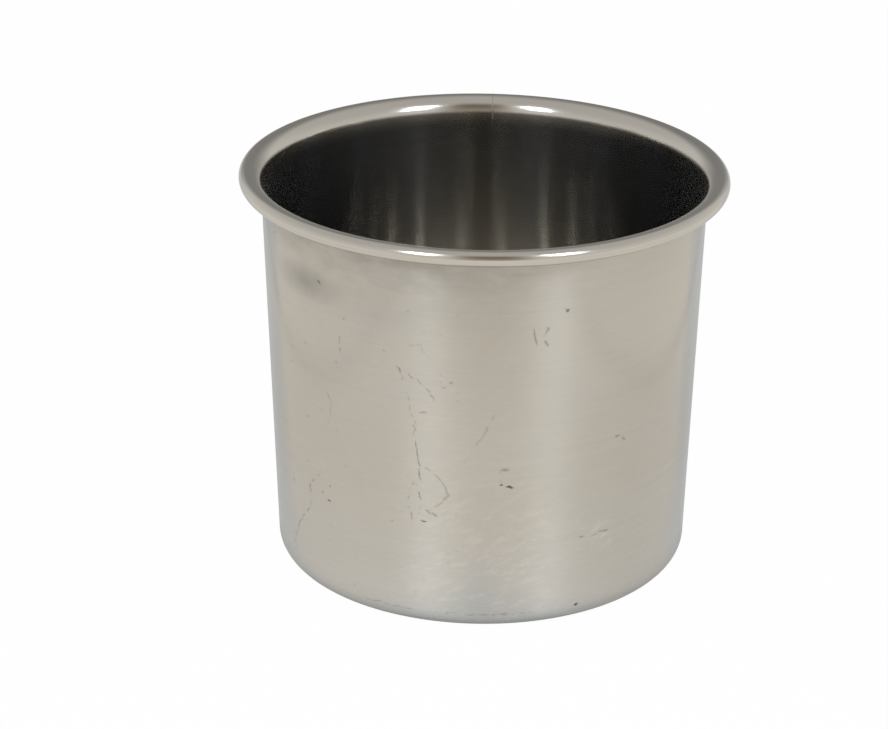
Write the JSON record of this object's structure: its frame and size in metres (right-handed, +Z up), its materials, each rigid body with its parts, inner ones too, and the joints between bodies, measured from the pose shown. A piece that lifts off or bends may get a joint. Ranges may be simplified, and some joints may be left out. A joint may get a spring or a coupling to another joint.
{
  "type": "deep drawn metal cup",
  "caption": "Round open metal cup drawn from one sheet: flat base, rounded corner, slightly tapered plain wall and an outward rolled rim.",
  "frame": {"origin": "centre of the cup's base, on the surface it stands on", "axes": "+Z up along the cup's axis, out of the mouth; -Y towards the viewer"},
  "size_m": [0.114, 0.114, 0.0954],
  "materials": {
    "drawn_steel": "bright drawn and polished stainless sheet, fine marks running round the wall, light wear"
  },
  "bodies": {
    "root": {"cup": "drawn_steel"}
  },
  "joints": []
}
